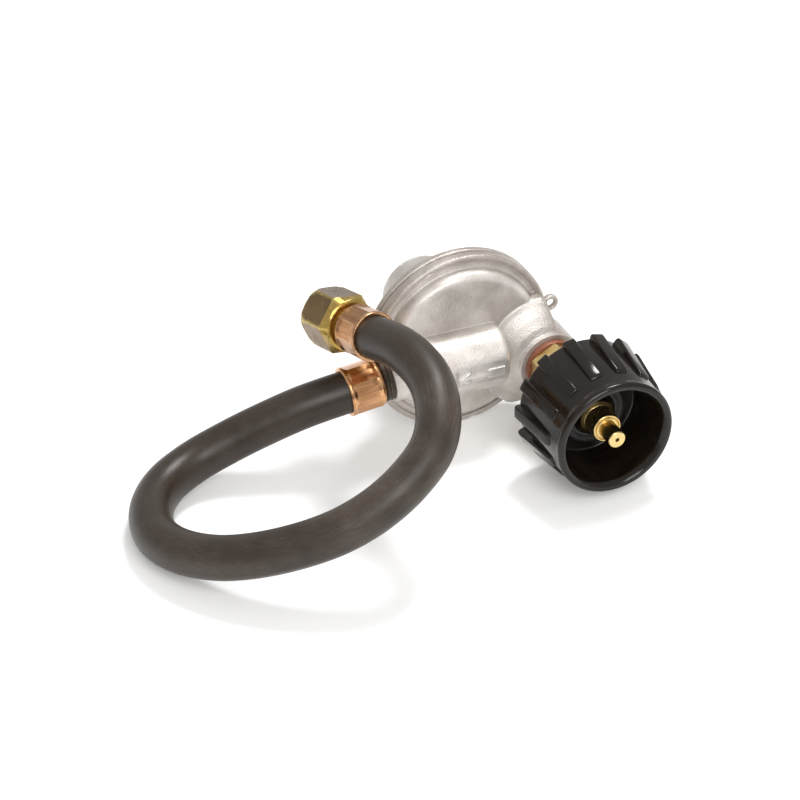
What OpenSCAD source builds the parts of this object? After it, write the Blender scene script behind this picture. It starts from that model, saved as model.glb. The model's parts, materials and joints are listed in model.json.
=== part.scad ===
// Gas regulator on a short rubber hose: a round diaphragm regulator that stands on its
// rim, a ribbed hand nut on the inlet, and a swivel flare nut on the hose's far end.
// Millimetres, +Z up. The regulator's face looks along -Y and the gas leaves along -X.

/* [Regulator] */
// Radius of the rolled rim that the regulator stands on
rim_r = 32.8; // [32.6:0.1:33]
// Height of the raised face in front of the flange
face_h = 4.4; // [4.2:0.1:4.6]
// Radius of the gas passage that crosses the face
passage_r = 11; // [10.9:0.1:11.2]
// Wall of the castings
wall = 2.2; // [2.1:0.1:2.3]
// Radius of the spring tower on the back
tower_r = 14.6; // [14.4:0.1:15]
// Length of the spring tower behind the flange
tower_l = 34.2; // [34:0.1:34.6]

/* [Inlet] */
// Distance of the inlet axis to the side of the regulator's axis
inlet_dx = 28; // [27.8:0.1:28.2]
// Radius of the inlet boss
boss_r = 11.5; // [11.2:0.1:11.8]
// Length of the inlet boss in front of the flange
boss_l = 13; // [12.8:0.1:13.2]

/* [Coupling nut] */
// Radius over the ribs of the coupling nut
rib_r = 24.2; // [24:0.1:24.4]
// Radius of the front bead of the coupling nut
bead_r = 20.8; // [20.6:0.1:21]
// Number of ribs on the coupling nut
rib_count = 14; // [12:1:16]
// Turn of the ribs about the nut's axis, in degrees
rib_turn = 0.5; // [0:0.5:12]
// Bore that takes the cylinder valve's outside thread
nut_bore_r = 16.7; // [16.5:0.1:16.9]

/* [Hose] */
// Radius of the hose
hose_r = 7.25; // [7.1:0.05:7.3]
// Radius of the two ferrules
ferrule_r = 8.5; // [8.3:0.1:8.6]
// Length of each ferrule
ferrule_l = 12.5; // [12:0.5:13]
// Width across the flats of the flare nut
flare_af = 19; // [18.6:0.1:19.2]
// Length of the flare nut
flare_l = 17; // [16.6:0.1:17.2]

/* [Hidden] */
$fn = 64;

// Depths in front of (-) and behind (+) the flange's front face
nose_front = -63.2;
nut_front = -62.7;
nut_back = -33.4;
flange_t = 3.2;
diaphragm_t = 0.8;
bonnet_y = flange_t + diaphragm_t;
cap_t = 2.2;

// The frame's origin is midway over the regulator and its nut, on the surface they stand on
disc_x = (rim_r - inlet_dx - rib_r) / 2;
disc_y = -(nose_front + tower_l + cap_t) / 2;
inlet_z = rib_r;

// Casting
flange_r = 31.3;
face_r = 27.8;
chamber_r = 25;
eyelet_r = rim_r + 3.4;
eyelet_turn = 6;
passage_y = -6.9;
passage_z = 29.5;
passage_left = -20;
passage_right = 9.8;
cavity_r = passage_r - wall;
cavity_right = 9;

// Valve and lever, which work across the passage
valve_y = -3.5;
valve_r = 2.4;
valve_bore_r = 3;
valve_left = -15.2;
valve_right = 9.2;
seat_x = 10.2;
lever_x = -14;
lever_y = 0.5;
pin_r = 0.8;
running = 0.06;

// Nipple
thread_r = 6.6;
neck_r = 7;
shoulder_r = 11.5;
shoulder_y = -43.25;
flow_bore_r = 3;
nut_floor = -42;

// Barbed stems, alike at both ends of the hose
barb_r = 3.3;
stem_bore_r = 2.4;
collar_l = 3.1;
head_z = ferrule_l + 5.2;

// Hose route: the ends lie on the ferrules' faces
outlet_end = [-55, 6.5, 27.5];
outlet_tilt = 7;
far_end = [-48.5, -4.5, 54];
far_turn = 100;
far_tip = 103;
ROUTE = [
    outlet_end, [-69, 8, 24.5], [-82, 10.5, 19.5], [-95, 12.5, 14], [-108, 11.5, 9.8],
    [-119.5, 5.5, 7.8], [-127.5, -5.5, 7.4], [-130.5, -19, 8], [-127.5, -32.5, 10],
    [-119.5, -44.5, 13], [-109, -53.5, 17], [-96.5, -60.5, 22], [-84.5, -64.5, 27],
    [-73, -66, 33], [-62, -64.5, 39.5], [-52, -59.5, 46], [-46, -50.5, 52],
    [-43.5, -37.5, 56.5], [-45, -21.5, 57.5], far_end
];
OUTLET_DIR = [-cos(outlet_tilt), 0, -sin(outlet_tilt)];
FAR_DIR = [sin(far_tip) * cos(far_turn), sin(far_tip) * sin(far_turn), cos(far_tip)];
hose_sides = 12;
hose_steps = 3;

// ---- placing and plain shapes ----

module at_flange() translate([disc_x, disc_y, 0]) children();
module at_disc() translate([disc_x, disc_y, rim_r]) children();
module at_inlet() translate([disc_x + inlet_dx, disc_y, inlet_z]) children();
module at_outlet() translate(outlet_end) rotate([0, -90 - outlet_tilt, 0]) children();
module at_far_end() translate(far_end) rotate([0, far_tip, far_turn]) children();

module rod_x(r, x0, x1) translate([x0, 0, 0]) rotate([0, 90, 0]) cylinder(r = r, h = x1 - x0);
module rod_y(r, y0, y1) translate([0, y0, 0]) rotate([-90, 0, 0]) cylinder(r = r, h = y1 - y0);
module rod_z(r, z0, z1) translate([0, 0, z0]) cylinder(r = r, h = z1 - z0);
module ring_y(r, hole, y0, y1) difference() {
    rod_y(r, y0, y1);
    rod_y(hole, y0 - 1, y1 + 1);
}
module ring_z(r, hole, z0, z1) difference() {
    rod_z(r, z0, z1);
    rod_z(hole, z0 - 1, z1 + 1);
}
// Turns a profile of [radius, y] points about the Y axis
module turned_y(points) rotate([-90, 0, 0]) rotate_extrude() polygon(points);
module turned_z(points) rotate_extrude() polygon(points);
module hex_y(across, y0, y1) translate([0, y0, 0]) rotate([-90, 0, 0])
    cylinder(r = across / 2 / cos(30), h = y1 - y0, $fn = 6);
module block(low, high) translate(low) cube(high - low);

function quarter(cx, cy, r, a0, a1, n) =
    [for (i = [0:n]) [cx + r * cos(a0 + (a1 - a0) * i / n), cy + r * sin(a0 + (a1 - a0) * i / n)]];

// ---- swept tubes ----

function unit(v) = v / norm(v);
function turn_to(side, dir) = unit(side - (side * dir) * dir);
function sides_along(dirs, side, i = 0) = i == len(dirs) ? [] :
    let (s = turn_to(side, dirs[i])) concat([s], sides_along(dirs, s, i + 1));
function spline_point(p, i, t) =
    let (n = len(p) - 1, a = p[max(i - 1, 0)], b = p[i], c = p[i + 1], d = p[min(i + 2, n)])
    0.5 * (2 * b + (c - a) * t + (2 * a - 5 * b + 4 * c - d) * t * t
        + (3 * b - a - 3 * c + d) * t * t * t);
function spline(p, steps) = concat(
    [for (i = [0:len(p) - 2], k = [0:steps - 1]) spline_point(p, i, k / steps)], [p[len(p) - 1]]);

// Sweeps a round section along points; first and last give the directions at the ends
module swept(points, r, sides, first, last) {
    n = len(points);
    dirs = [for (i = [0:n - 1]) i == 0 ? first : i == n - 1 ? last
        : unit(points[i + 1] - points[i - 1])];
    side = sides_along(dirs, abs(first[2]) < 0.9 ? [0, 0, 1] : [1, 0, 0]);
    skin = [for (i = [0:n - 1], k = [0:sides - 1]) let (a = 360 * k / sides)
        points[i] + r * cos(a) * side[i] + r * sin(a) * cross(dirs[i], side[i])];
    walls = [for (i = [0:n - 2], k = [0:sides - 1]) let (m = (k + 1) % sides)
        [i * sides + k, (i + 1) * sides + k, (i + 1) * sides + m, i * sides + m]];
    start = [for (k = [0:sides - 1]) k];
    end = [for (k = [sides - 1:-1:0]) (n - 1) * sides + k];
    polyhedron(skin, concat([start], walls, [end]), convexity = 6);
}

// Compression spring along Y from y0 to y1
module coil_y(coil_r, wire_r, y0, y1, turns) {
    steps = 16;
    rise = y1 - y0 - 2 * wire_r;
    points = [for (i = [0:turns * steps]) let (a = 360 * i / steps)
        [coil_r * cos(a), y0 + wire_r + rise * i / (turns * steps), coil_r * sin(a)]];
    swept(points, wire_r, 6, [0, 0, 1], [0, 0, 1]);
}

// ---- regulator castings ----

module face_and_flange() at_disc() difference() {
    turned_y(concat(
        [[0, -face_h]],
        quarter(face_r - 2.6, 2.6 - face_h, 2.6, -90, 0, 5),
        [[face_r + 0.5, 0], [flange_r, 0], [flange_r, flange_t], [0, flange_t]]));
    rod_y(chamber_r, wall - face_h, flange_t + 1);
}

module at_passage() translate([disc_x, disc_y + passage_y, passage_z]) children();
module at_valve() translate([disc_x, disc_y + valve_y, passage_z]) children();

module passage_skin() intersection() {
    union() {
        at_passage() rod_x(passage_r, passage_left, passage_right);
        at_passage() rotate([0, 90, 0]) translate([0, 0, passage_right])
            cylinder(r1 = passage_r, r2 = passage_r - 1.4, h = 1.4);
        at_passage() rotate([0, -90, 0]) translate([0, 0, -passage_left])
            cylinder(r1 = passage_r, r2 = ferrule_r, h = 4.5);
        at_outlet() rod_z(ferrule_r, -27, -ferrule_l - collar_l - 0.1);
    }
    at_flange() block([-60, -40, 0], [60, 0.2, 60]);
}

// The inlet boss swells out where it meets the face, and stops at the flange's edge
module boss_swell() intersection() {
    at_inlet() turned_y([[0, 0.2], [21.5, 0.2], [21.5, -face_h], [20.4, -6.2], [17.6, -8.8],
        [14.2, -11], [boss_r, -12.2], [0, -12.2]]);
    at_disc() rod_y(31, -15, 0.2);
}

module valve_block() {
    at_flange() translate([inlet_dx, 0, inlet_z]) rod_y(boss_r, -boss_l, 0.8);
    at_valve() rod_x(4.2, cavity_right - 0.2, 20);
    intersection() {
        at_passage() rod_x(cavity_r + 0.3, 4, 7);
        at_flange() block([-60, -40, 0], [60, 0.6, 60]);
    }
}

module lever_ears() at_flange() {
    block([lever_x - 1.8, -4, 19], [lever_x + 1.8, lever_y + 1.4, 26.8]);
    block([lever_x - 1.8, -4, 34.6], [lever_x + 1.8, lever_y + 1.4, 39.6]);
}

module arrow_pad() {
    pad_y = passage_y - passage_r + 0.7;
    arrow = [[-8, 0], [-4.5, 2.2], [-4.5, 0.9], [8.5, 0.9], [8.5, -0.9], [-4.5, -0.9], [-4.5, -2.2]];
    difference() {
        children();
        at_flange() block([-9, -40, 26], [10.5, pad_y, 32.6]);
    }
    at_flange() translate([0, pad_y + 0.2, 29.3]) rotate([90, 0, 0]) linear_extrude(0.6) polygon(arrow);
}

module body_casting() color("#b8b5af") difference() {
    union() {
        difference() {
            union() {
                face_and_flange();
                arrow_pad() passage_skin();
                boss_swell();
            }
            at_disc() rod_y(chamber_r, wall - face_h, flange_t + 1);
            at_passage() rod_x(cavity_r, passage_left - 1, cavity_right);
        }
        valve_block();
        lever_ears();
    }
    // inlet thread, valve bore, guide bore and its gas window, outlet thread, lever pin
    at_inlet() rod_y(thread_r, -boss_l - 1, -0.6);
    at_valve() rod_x(valve_bore_r, cavity_right - 1, inlet_dx);
    at_valve() rod_x(valve_r + running, 3, 8);
    at_valve() translate([0, -7.2, 0]) rod_x(2.4, 3, 8);
    at_outlet() rod_z(4.8, -25.5, -ferrule_l);
    at_flange() translate([lever_x, lever_y, 0]) rod_z(pin_r, 24.8, 37.2);
    collar_room();
}

module bonnet_shell() at_disc() difference() {
    union() {
        turned_y(concat(
            [[11.6, tower_l], [tower_r - 0.8, tower_l], [tower_r - 0.2, tower_l - 0.7],
             [tower_r + 1.4, 18], [tower_r + 2.9, 15.4], [27, 9.4], [29.6, 8]],
            quarter(rim_r - 1.2, 5.8, 1.2, 80, 0, 3),
            [[rim_r, 3.9], [rim_r - 0.4, 3.7], [rim_r - 0.4, 3.2], [rim_r, 3]],
            quarter(rim_r - 0.6, 0, 0.6, 0, -90, 3),
            [[30.6, -0.6], [30.6, 0], [flange_r + 0.05, 0], [flange_r + 0.05, bonnet_y],
             [26.5, bonnet_y], [24.8, 7.4], [13.6, 16.2], [11.6, 19.2]]));
        // vent boss low on the shoulder, eyelet on the rim
        translate([0, 0, -20.5]) rod_y(4.6, 9.5, 16);
        rotate([0, -eyelet_turn, 0]) {
            translate([eyelet_r, 0, 0]) rod_y(2.7, 4.2, 6.6);
            block([rim_r - 1, 4.3, -1.1], [eyelet_r - 2, 6.5, 1.1]);
        }
    }
    translate([0, 0, -20.5]) rod_y(2.6, 5, 17);
    translate([0, 0, -20.5]) rod_y(3.4, 15, 17);
    rotate([0, -eyelet_turn, 0]) translate([eyelet_r, 0, 0]) rod_y(1.2, 4, 7);
}

// The rim is scooped out where the outlet's collar passes in front of it
module collar_room() at_outlet() rod_z(7.6, -ferrule_l - collar_l - 0.1, 1 - ferrule_l);

module bonnet() color("#aeaca8") difference() {
    bonnet_shell();
    collar_room();
}

module vent_screen() color("#8d8d8d") at_disc() translate([0, 0, -20.5]) difference() {
    rod_y(3.4, 15, 15.6);
    for (x = [-1.5:1:1.5], z = [-1.5:1:1.5]) translate([x, 0, z]) rod_y(0.35, 14.5, 16);
}

// ---- diaphragm and its spring ----

module diaphragm() color("#2a2622") at_disc() ring_y(flange_r, 2.4, flange_t, bonnet_y);

module diaphragm_plate() color("#c9c9c6") at_disc() turned_y([
    [2.46, bonnet_y], [17.5, bonnet_y], [18.5, bonnet_y + 1.6], [17.7, bonnet_y + 1.9],
    [16.9, bonnet_y + 0.8], [2.46, bonnet_y + 0.8]]);

module diaphragm_post() color("#c9a452") at_disc() difference() {
    union() {
        rod_y(2.4, -1.3, 16.5);
        rod_y(6, 2.1, flange_t);
    }
    // slot for the end of the lever
    block([-3, lever_y - 0.85, -2.6], [1.3, lever_y + 0.85, 2.6]);
}

module relief_nut() color("#c9a452") at_disc() difference() {
    hex_y(8, 12.6, 15.2);
    rod_y(2.4, 12, 16);
}

module relief_spring() color("#b7bcc0") at_disc() coil_y(3.4, 0.45, bonnet_y + 0.85, 12.55, 5);
module adjusting_spring() color("#b7bcc0") at_disc() coil_y(9.2, 0.9, bonnet_y + 0.85, 25.45, 5);

module spring_seat() color("#c9c9c6") at_disc() turned_y([
    [3, 25.5], [10.8, 25.5], [10.8, 26.5], [4.6, 26.5], [4.2, 27], [3, 27]]);

module adjusting_screw() color("#d8d2c0") at_disc() difference() {
    rod_y(11.5, 27.05, 30.5);
    hex_y(8, 28, 31);
}

module cap_gasket() color("#1b1b1b") at_disc() ring_y(13.2, 11.55, tower_l, tower_l + 0.6);

module closing_cap() color("#9c9b98") at_disc() difference() {
    union() {
        rod_y(11.5, 31.4, tower_l + 1);
        rod_y(13.6, tower_l + 0.65, tower_l + cap_t);
    }
    block([-7, tower_l + 1, -0.9], [7, tower_l + 3, 0.9]);
}

// ---- valve ----

module lever_pin() color("#c4c4c4") at_flange() translate([lever_x, lever_y, 0])
    rod_z(pin_r, 25, 37);

module lever() color("#cfcfcc") at_flange() difference() {
    union() {
        translate([lever_x, lever_y, 0]) rod_z(1.5, 27.6, 34.4);
        block([lever_x, lever_y - 0.5, 31.4], [1, lever_y + 0.5, 34.2]);
        block([lever_x - 0.5, valve_y - 1, 28.4], [lever_x + 0.5, lever_y, 30.6]);
    }
    translate([lever_x, lever_y, 0]) rod_z(pin_r + running, 27, 35);
}

module valve_stem() color("#c9a452") at_valve() difference() {
    rod_x(valve_r, valve_left, valve_right);
    // slot for the short arm of the lever
    block([lever_x - 0.85, -2.9, -1.5], [lever_x + 0.85, 3, 1.5]);
    rod_x(1, valve_right - 1.5, valve_right + 1);
}

module valve_disc() color("#3a2f2a") at_valve() {
    rod_x(1, valve_right - 1.5, valve_right);
    rod_x(2.2, valve_right, valve_right + 0.5);
}

module orifice() color("#c9a452") at_valve() difference() {
    union() {
        rod_x(valve_bore_r, seat_x + 0.8, 19);
        rod_x(1.6, seat_x, seat_x + 0.8);
    }
    rod_x(0.9, seat_x - 1, 20);
}

// ---- inlet ----

module inlet_nipple() color("#c9a452") at_inlet() difference() {
    union() {
        rod_y(thread_r, -15.2, -6.8);
        hex_y(17, -20.5, -15.2);
        turned_y([[0, -20.5], [neck_r, -20.5], [neck_r, shoulder_y],
            [shoulder_r, shoulder_y], [shoulder_r, -45.6], [shoulder_r - 0.8, -46.2],
            [7.4, -46.2], [6.4, -49], [5.1, -49.6], [5.1, -55.6], [4.7, -56],
            [3.1, -56], [3.1, nose_front + 0.4], [2.8, nose_front], [0, nose_front]]);
    }
    rod_y(flow_bore_r, -52.4, -6);
    rod_y(0.7, -64, -52);
}

module inlet_washer() color("#8a3c22") at_inlet() ring_y(9.6, thread_r, -15.2, -boss_l);

module flow_seat() color("#c9a452") at_inlet() ring_y(flow_bore_r, 1.5, -36, -33);
module flow_spring() color("#b7bcc0") at_inlet() coil_y(2.2, 0.3, -44.35, -36.05, 5);

module flow_piston() color("#c9a452") at_inlet() difference() {
    union() {
        rod_y(flow_bore_r - running, -52, -47.5);
        rod_y(1.7, -47.5, -44.4);
    }
    for (a = [0:120:240]) rotate([0, a, 0]) translate([2.2, 0, 0]) rod_y(0.5, -53, -47);
}

module thermal_bushing() color("#2d2d2d") at_inlet() difference() {
    union() {
        rod_y(shoulder_r, nut_floor - 1.2, nut_floor - 0.05);
        rod_y(8.95, nut_floor - 1, -36.2);
    }
    rod_y(neck_r + running, -45, -35);
}

module nut_rib() linear_extrude(4.4, center = true) polygon([
    [18, -34.6], [rib_r - 0.8, -34.6], [rib_r, -35.4], [rib_r, -36.6],
    [21.9, -54], [21.2, -55], [18, -55]]);

module coupling_nut() color("#161616") at_inlet() difference() {
    union() {
        rotate([0, rib_turn + 180 / rib_count, 0]) turned_y(concat(
            [[0, nut_back], [21, nut_back], [21.6, -34.2], [20.5, -57], [20.3, -60]],
            quarter(bead_r - 0.9, nut_front + 1.2, 0.9, 45, 0, 2),
            quarter(bead_r - 1.2, nut_front + 1.2, 1.2, 0, -90, 4),
            [[0, nut_front]]));
        for (i = [0:rib_count - 1])
            rotate([0, rib_turn + 360 * i / rib_count, 0]) nut_rib();
    }
    turned_y([[0, nut_front - 1], [18.8, nut_front - 1], [18.2, nut_front], [nut_bore_r, -60.2],
        [nut_bore_r, nut_floor], [0, nut_floor]]);
    rod_y(9, nut_floor - 1, nut_back);
    rod_y(15, -36, nut_back + 1);
}

// ---- outlet and hose ----

// A barbed stem's inner end, the hose's end over it and the ferrule round both; the hose
// leaves at z = 0 and the fitting lies along away
module barb(away) mirror([0, 0, away < 0 ? 1 : 0]) turned_z([
    [stem_bore_r, 1], [barb_r - 0.5, 1], [barb_r, 2.4], [barb_r - 0.4, 2.4], [barb_r, 5.4],
    [barb_r - 0.4, 5.4], [barb_r, 8.4], [barb_r, ferrule_l], [stem_bore_r, ferrule_l]]);
module hose_end_solid(away) mirror([0, 0, away < 0 ? 1 : 0]) 
    ring_z(hose_r, barb_r, 0, ferrule_l - 1.5);
module ferrule_solid(away) mirror([0, 0, away < 0 ? 1 : 0]) difference() {
    turned_z(concat(
        [[hose_r, 0], [ferrule_r - 0.4, 0], [ferrule_r, 0.4]],
        quarter(ferrule_r - 1.5, ferrule_l - 1.5, 1.5, 0, 90, 4),
        [[barb_r, ferrule_l], [barb_r, ferrule_l - 1.5], [hose_r, ferrule_l - 1.5]]));
}

module outlet_stem() color("#2b2320") at_outlet() {
    barb(-1);
    ring_z(7.5, stem_bore_r, -ferrule_l - collar_l, -ferrule_l);
    ring_z(4.8, stem_bore_r, -24.4, -ferrule_l - collar_l);
}
module outlet_hose_end() color("#2b2724") at_outlet() hose_end_solid(-1);
module outlet_ferrule() color("#b87646") at_outlet() ferrule_solid(-1);

module hose() color("#2b2724") swept(spline(ROUTE, hose_steps), hose_r, hose_sides, OUTLET_DIR, FAR_DIR);

module far_hose_end() color("#2b2724") at_far_end() hose_end_solid(1);
module far_ferrule() color("#b87646") at_far_end() ferrule_solid(1);

module far_stem() color("#c9a23c") at_far_end() {
    barb(1);
    ring_z(6, stem_bore_r, ferrule_l, ferrule_l + 2);
    ring_z(5.2, stem_bore_r, ferrule_l + 2, head_z);
    // head with the cone that the mating flare seats in
    turned_z([[stem_bore_r, head_z], [6.9, head_z], [6.9, head_z + 2.4], [6.5, head_z + 2.8],
        [5.6, head_z + 2.8], [stem_bore_r, head_z + 0.8]]);
}

module flare_nut() color("#b3932f") at_far_end() {
    back = head_z - 2.9;
    front = back + flare_l;
    corner_r = flare_af / 2 / cos(30);
    difference() {
        intersection() {
            translate([0, 0, back]) rotate([0, 0, 10]) cylinder(r = corner_r, h = flare_l, $fn = 6);
            turned_z([[0, back], [flare_af / 2 - 0.9, back], [corner_r + 0.1, back + 1.5],
                [corner_r + 0.1, front - 2.4], [flare_af / 2 - 1.2, front], [0, front]]);
        }
        rod_z(5.2 + running, back - 1, back + 3);
        rod_z(7.5, back + 2.8, back + 6);
        rod_z(7.3, back + 5, front + 1);
        turned_z([[0, front - 0.8], [7.3, front - 0.8], [8.3, front + 0.2], [0, front + 0.2]]);
    }
}

body_casting();
bonnet();
diaphragm();
diaphragm_plate();
diaphragm_post();
relief_nut();
relief_spring();
adjusting_spring();
spring_seat();
adjusting_screw();
closing_cap();
cap_gasket();
vent_screen();
lever();
lever_pin();
valve_stem();
valve_disc();
orifice();
inlet_nipple();
inlet_washer();
thermal_bushing();
coupling_nut();
flow_piston();
flow_spring();
flow_seat();
outlet_stem();
outlet_ferrule();
outlet_hose_end();
hose();
far_hose_end();
far_ferrule();
far_stem();
flare_nut();
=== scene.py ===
"""A round gas regulator with a ribbed coupling nut and a short rubber hose."""
import json
import math

import bmesh
import bpy
from mathutils import Matrix, Vector


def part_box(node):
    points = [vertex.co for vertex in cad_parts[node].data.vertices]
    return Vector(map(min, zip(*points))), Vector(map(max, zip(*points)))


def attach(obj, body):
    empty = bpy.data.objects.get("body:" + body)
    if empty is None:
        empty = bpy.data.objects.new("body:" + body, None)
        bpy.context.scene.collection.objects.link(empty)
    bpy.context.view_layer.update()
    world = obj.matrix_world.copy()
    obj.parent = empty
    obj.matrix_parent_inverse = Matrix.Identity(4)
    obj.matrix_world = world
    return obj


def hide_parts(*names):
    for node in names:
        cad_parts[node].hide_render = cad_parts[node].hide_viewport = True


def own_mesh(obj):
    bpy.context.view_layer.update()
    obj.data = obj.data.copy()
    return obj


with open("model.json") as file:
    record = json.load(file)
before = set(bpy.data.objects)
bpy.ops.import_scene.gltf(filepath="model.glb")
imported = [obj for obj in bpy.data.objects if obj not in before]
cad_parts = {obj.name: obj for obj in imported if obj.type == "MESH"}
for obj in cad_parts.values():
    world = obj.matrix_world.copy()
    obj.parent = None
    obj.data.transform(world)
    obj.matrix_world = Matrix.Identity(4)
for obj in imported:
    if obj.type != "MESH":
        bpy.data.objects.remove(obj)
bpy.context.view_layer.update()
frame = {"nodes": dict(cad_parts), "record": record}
SCENE = bpy.context.scene

MM = 0.001
TAU = 2 * math.pi


def mm(*values):
    """A point or direction given in millimetres."""
    return Vector(values) * MM


# ---- camera ----

CAMERA_AZIMUTH = math.radians(-22.9)
CAMERA_ELEVATION = math.radians(33.4)
CAMERA_DISTANCE = 0.885
LOOK_AT = mm(-32, 13.4, 15.2)


def make_camera():
    back = Vector((math.sin(CAMERA_AZIMUTH) * math.cos(CAMERA_ELEVATION),
                   -math.cos(CAMERA_AZIMUTH) * math.cos(CAMERA_ELEVATION),
                   math.sin(CAMERA_ELEVATION)))
    data = bpy.data.cameras.new("camera")
    data.lens = 117
    data.sensor_width = 36
    data.shift_y = -0.0025
    data.clip_start, data.clip_end = 0.05, 20
    camera = bpy.data.objects.new("camera", data)
    camera.location = LOOK_AT + back * CAMERA_DISTANCE
    camera.rotation_mode = "QUATERNION"
    camera.rotation_quaternion = (-back).to_track_quat("-Z", "Y")
    SCENE.collection.objects.link(camera)
    SCENE.camera = camera


make_camera()


# ---- places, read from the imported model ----

def middle(node):
    low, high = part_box(node)
    return (Vector(low) + Vector(high)) / 2


FLANGE_T = 3.2 * MM
RIM_MIDDLE = middle("diaphragm")
FLANGE_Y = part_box("diaphragm")[0][1] - FLANGE_T
DISC = Vector((RIM_MIDDLE.x, FLANGE_Y, RIM_MIDDLE.z))
NIPPLE_MIDDLE = middle("inlet_washer")
INLET = Vector((NIPPLE_MIDDLE.x, FLANGE_Y, NIPPLE_MIDDLE.z))
FLARE_MOUNT = next(m for m in frame["record"]["mounts"] if m["name"] == "flare_thread")
FAR_AXIS = Vector(FLARE_MOUNT["axis"]).normalized()

OUTLET_TILT = math.radians(7)
OUTLET_AXIS = Vector((-math.cos(OUTLET_TILT), 0, -math.sin(OUTLET_TILT)))

# Lengths along the hose's fittings, in millimetres from the hose's visible ends
FERRULE_L = 12.5
FERRULE_R = 8.5
COLLAR_L = 3.1
HEAD_Z = FERRULE_L + 5.2
FLARE_BACK = HEAD_Z - 2.9
FLARE_L = 17
FLARE_AF = 19
HOSE_R = 7.25

ROUTE_MM = [
    (-55, 6.5, 27.5), (-69, 8, 24.5), (-82, 10.5, 19.5), (-95, 12.5, 14), (-108, 11.5, 9.8),
    (-119.5, 5.5, 7.8), (-127.5, -5.5, 7.4), (-130.5, -19, 8), (-127.5, -32.5, 10),
    (-119.5, -44.5, 13), (-109, -53.5, 17), (-96.5, -60.5, 22), (-84.5, -64.5, 27),
    (-73, -66, 33), (-62, -64.5, 39.5), (-52, -59.5, 46), (-46, -50.5, 52),
    (-43.5, -37.5, 56.5), (-45, -21.5, 57.5), (-48.5, -4.5, 54),
]
ROUTE = [mm(*point) for point in ROUTE_MM]
OUTLET_END = ROUTE[0]
FAR_END = ROUTE[-1]


def standing(origin, axis):
    """A matrix whose Z axis lies along axis, which is never upright."""
    z = Vector(axis).normalized()
    x = Vector((0, 0, 1)).cross(z).normalized()
    y = z.cross(x)
    rotation = Matrix((x, y, z)).transposed().to_4x4()
    return Matrix.Translation(origin) @ rotation


AT_DISC = standing(DISC, (0, 1, 0))
AT_INLET = standing(INLET, (0, 1, 0))
AT_OUTLET = standing(OUTLET_END, -OUTLET_AXIS)
AT_FAR = standing(FAR_END, FAR_AXIS)


# ---- shader groups ----

class Shader:
    """Adds nodes to a tree in short lines."""

    def __init__(self, tree):
        self.tree = tree
        self.column = 0

    def node(self, kind, inputs=None, **settings):
        node = self.tree.nodes.new(kind)
        node.location = (self.column * 180, 0)
        self.column += 1
        for key, value in settings.items():
            setattr(node, key, value)
        for key, value in (inputs or {}).items():
            if isinstance(value, bpy.types.NodeSocket):
                self.tree.links.new(value, node.inputs[key])
            else:
                node.inputs[key].default_value = value
        return node

    def math(self, operation, a, b=0.0):
        return self.node("ShaderNodeMath", {0: a, 1: b}, operation=operation).outputs[0]

    def spread(self, value, low, high, to_low, to_high):
        return self.node("ShaderNodeMapRange", {"Value": value, "From Min": low, "From Max": high,
                                                "To Min": to_low, "To Max": to_high}).outputs[0]

    def mixed(self, factor, a, b):
        node = self.node("ShaderNodeMix", data_type="RGBA")
        for socket, value in zip((node.inputs[0], node.inputs[6], node.inputs[7]), (factor, a, b)):
            if isinstance(value, bpy.types.NodeSocket):
                self.tree.links.new(value, socket)
            else:
                socket.default_value = value
        return node.outputs[2]

    def noise(self, vector, scale, detail=2.0, rough=0.5):
        return self.node("ShaderNodeTexNoise", {"Vector": vector, "Scale": scale, "Detail": detail,
                                                "Roughness": rough}).outputs[0]


def shader_group(name, inputs, outputs):
    """A new shader group: inputs are (name, kind, default), outputs (name, kind)."""
    tree = bpy.data.node_groups.new(name, "ShaderNodeTree")
    for label, kind, default in inputs:
        socket = tree.interface.new_socket(label, in_out="INPUT", socket_type="NodeSocket" + kind)
        if default is not None:
            socket.default_value = default
    for label, kind in outputs:
        tree.interface.new_socket(label, in_out="OUTPUT", socket_type="NodeSocket" + kind)
    shader = Shader(tree)
    return shader, shader.node("NodeGroupInput"), shader.node("NodeGroupOutput")


def make_cast_grain():
    """Blasted casting skin: fine pits, slow waves and cloudy patches."""
    s, given, out = shader_group(
        "cast_grain",
        [("Vector", "Vector", None), ("Grain Size", "Float", 0.0006), ("Wave", "Float", 0.35)],
        [("Height", "Float"), ("Cloud", "Float")])
    scale = s.math("DIVIDE", 1.0, given.outputs["Grain Size"])
    pits = s.node("ShaderNodeTexVoronoi", {"Vector": given.outputs["Vector"], "Scale": scale},
                  feature="SMOOTH_F1")
    pits.inputs["Smoothness"].default_value = 0.6
    fine = s.noise(given.outputs["Vector"], scale, 4, 0.62)
    wave = s.noise(given.outputs["Vector"], 160, 3, 0.55)
    height = s.math("ADD", s.math("MULTIPLY", pits.outputs["Distance"], 0.5),
                    s.math("ADD", fine, s.math("MULTIPLY", wave, given.outputs["Wave"])))
    cloud = s.noise(given.outputs["Vector"], 95, 5, 0.6)
    s.tree.links.new(height, out.inputs["Height"])
    s.tree.links.new(s.spread(cloud, 0.3, 0.7, 0.0, 1.0), out.inputs["Cloud"])
    return s.tree


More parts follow.
